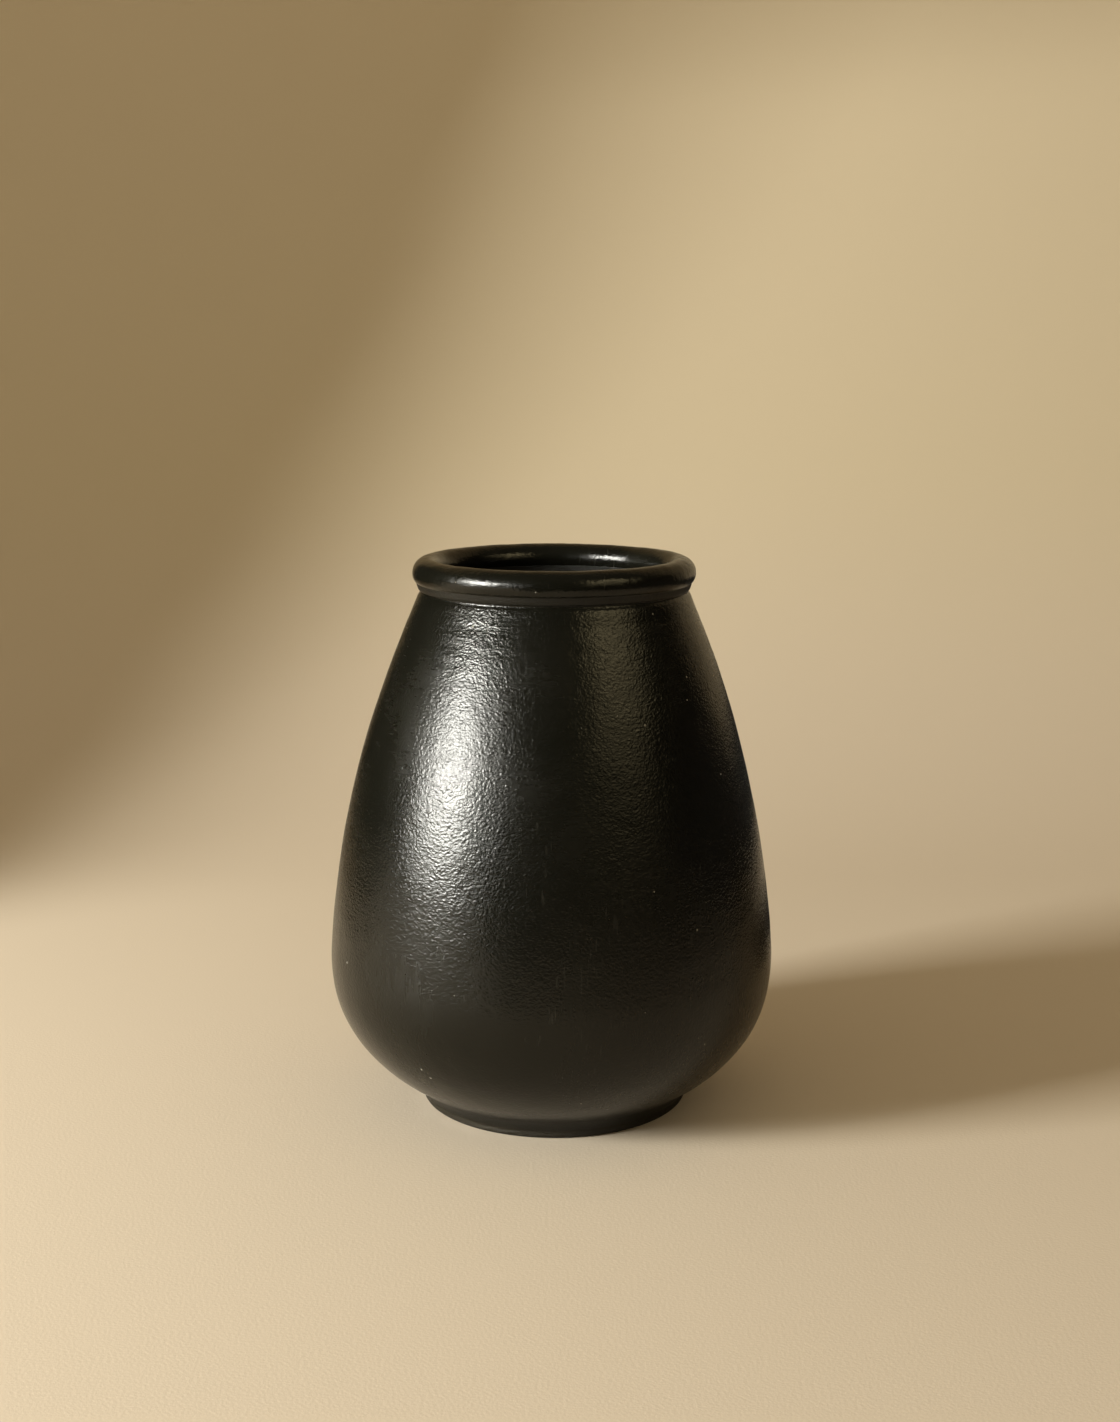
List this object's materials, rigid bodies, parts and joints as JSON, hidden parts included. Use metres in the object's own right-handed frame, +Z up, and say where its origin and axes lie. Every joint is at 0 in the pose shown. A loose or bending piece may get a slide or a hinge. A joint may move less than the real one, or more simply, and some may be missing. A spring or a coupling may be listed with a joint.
{
  "type": "clay pot",
  "caption": "Black burnished clay pot with a tall ogive body, a low turned foot, a short collar and a thick rolled lip around a wide open mouth.",
  "frame": {"origin": "centre of the foot's underside, on the surface the pot stands on", "axes": "+Z up along the pot's turning axis, towards the mouth; -Y is the side seen from the front"},
  "size_m": [0.1618, 0.1618, 0.2],
  "materials": {
    "burnished_clay": "burnished satin black",
    "polished_lip_clay": "polished black",
    "raw_foot_clay": "dull worn black"
  },
  "bodies": {
    "root": {"foot_ring": "raw_foot_clay", "base_slab": "burnished_clay", "lower_bowl": "burnished_clay", "belly_coil": "burnished_clay", "lower_wall_coil": "burnished_clay", "upper_wall_coil": "burnished_clay", "shoulder_coil": "burnished_clay", "neck_band": "polished_lip_clay", "rim_roll": "polished_lip_clay"}
  },
  "joints": []
}
